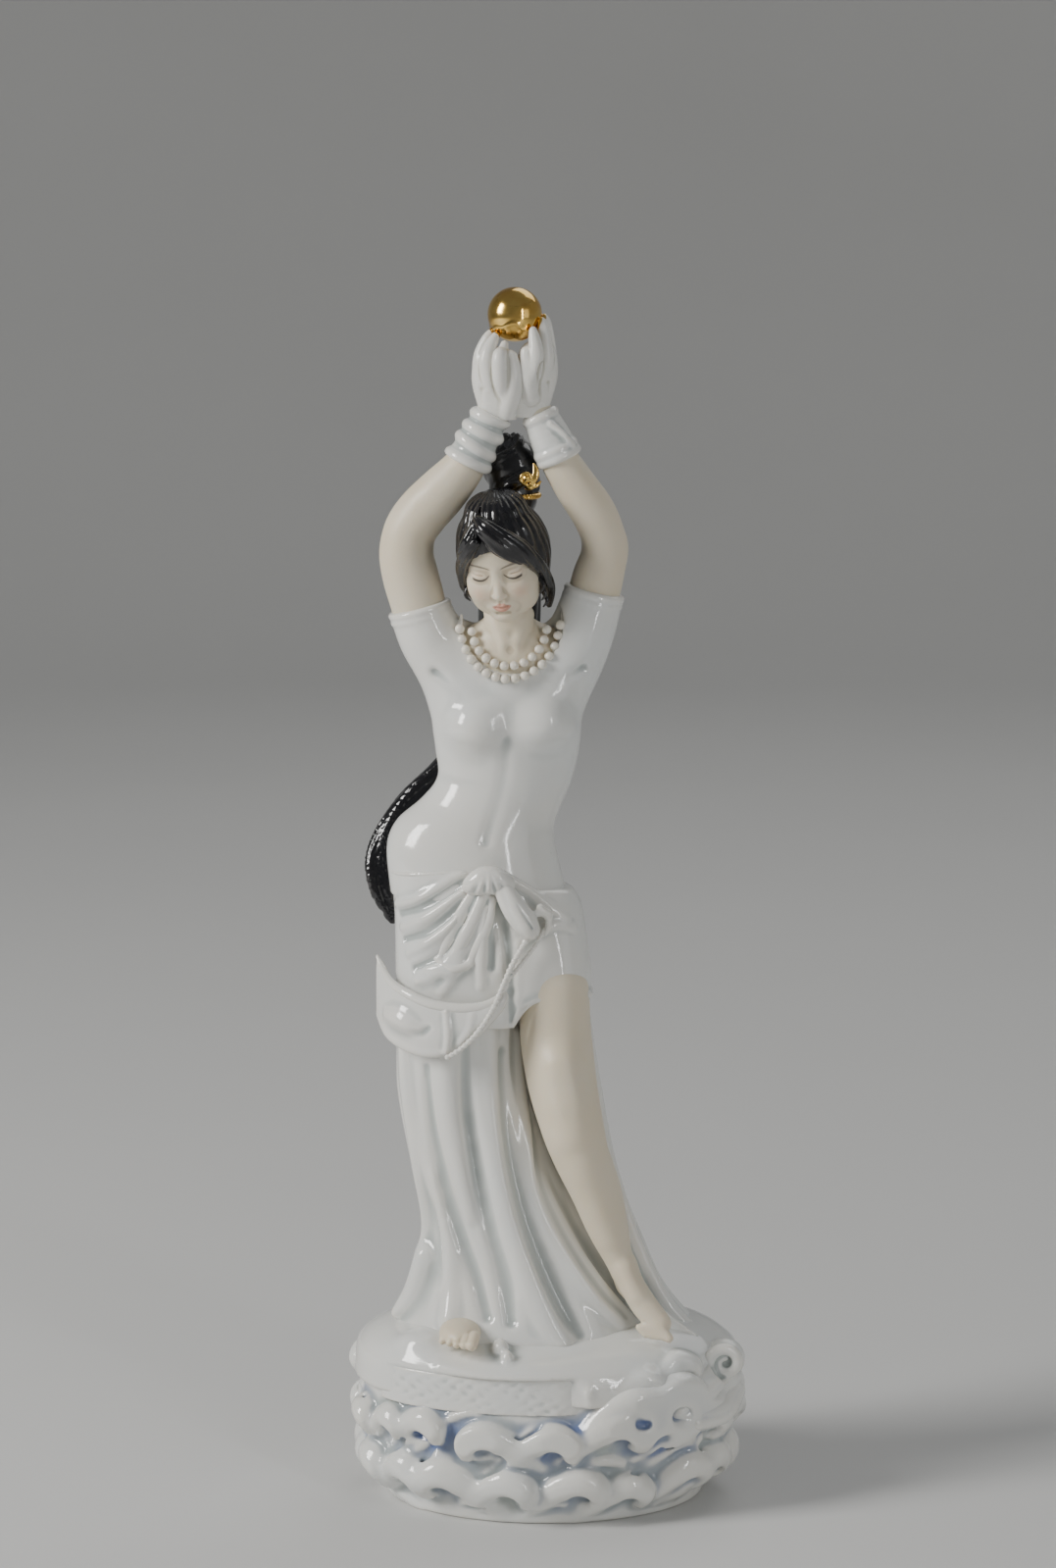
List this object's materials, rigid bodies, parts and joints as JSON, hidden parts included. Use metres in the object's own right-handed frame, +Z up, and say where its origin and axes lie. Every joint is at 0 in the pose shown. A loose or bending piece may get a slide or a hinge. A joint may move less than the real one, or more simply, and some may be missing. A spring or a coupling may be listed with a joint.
{
  "type": "porcelain figurine",
  "caption": "Glazed porcelain dancer in a wrapped skirt, standing on a wave-shaped base and holding a gilded ball overhead in both hands.",
  "frame": {"origin": "centre of the flat underside of the base", "axes": "+Z up through the figure, -Y the way the dancer faces, +X to the dancer's left"},
  "size_m": [0.1247, 0.0905, 0.3744],
  "materials": {
    "white_glaze": "clear gloss glaze over white porcelain",
    "blue_washed_glaze": "gloss glaze with a cobalt wash lying in the hollows",
    "hand_glaze": "thin satin glaze",
    "bisque_skin": "matte unglazed bisque",
    "painted_bisque_face": "matte bisque with fired enamel paint on brows, eyes and lips",
    "black_glaze": "gloss black glaze",
    "bead_glaze": "satin cream glaze",
    "gilding": "bright fired gilding on porcelain"
  },
  "bodies": {
    "root": {"wave_base": "blue_washed_glaze", "corner_crest": "blue_washed_glaze", "rock_slab": "white_glaze", "front_panel": "white_glaze", "skirt": "white_glaze", "skirt_train": "white_glaze", "left_leg": "bisque_skin", "right_foot": "bisque_skin", "hip_wrap": "white_glaze", "sash_band": "white_glaze", "sash_knot": "white_glaze", "sash_loop": "white_glaze", "sash_tails": "white_glaze", "net_pouch": "white_glaze", "net_rim": "white_glaze", "bead_cord": "white_glaze", "bodice": "white_glaze", "neck": "bisque_skin", "right_arm": "bisque_skin", "left_arm": "bisque_skin", "right_cuff": "white_glaze", "left_cuff": "white_glaze", "right_hand": "hand_glaze", "left_hand": "hand_glaze", "gilded_ball": "gilding", "head": "painted_bisque_face", "hair_cap": "black_glaze", "hair_fringe": "black_glaze", "hair_band": "gilding", "hair_bun": "black_glaze", "hair_comb": "gilding", "hair_tress": "black_glaze", "inner_bead_01": "bead_glaze", "inner_bead_02": "bead_glaze", "inner_bead_03": "bead_glaze", "inner_bead_04": "bead_glaze", "inner_bead_05": "bead_glaze", "inner_bead_06": "bead_glaze", "inner_bead_07": "bead_glaze", "inner_bead_08": "bead_glaze", "inner_bead_09": "bead_glaze", "inner_bead_10": "bead_glaze", "inner_bead_11": "bead_glaze", "inner_bead_12": "bead_glaze", "outer_bead_01": "bead_glaze", "outer_bead_02": "bead_glaze", "outer_bead_03": "bead_glaze", "outer_bead_04": "bead_glaze", "outer_bead_05": "bead_glaze", "outer_bead_06": "bead_glaze", "outer_bead_07": "bead_glaze", "outer_bead_08": "bead_glaze", "outer_bead_09": "bead_glaze", "outer_bead_10": "bead_glaze", "outer_bead_11": "bead_glaze", "outer_bead_12": "bead_glaze", "outer_bead_13": "bead_glaze", "outer_bead_14": "bead_glaze", "outer_bead_15": "bead_glaze", "outer_bead_16": "bead_glaze"}
  },
  "joints": []
}
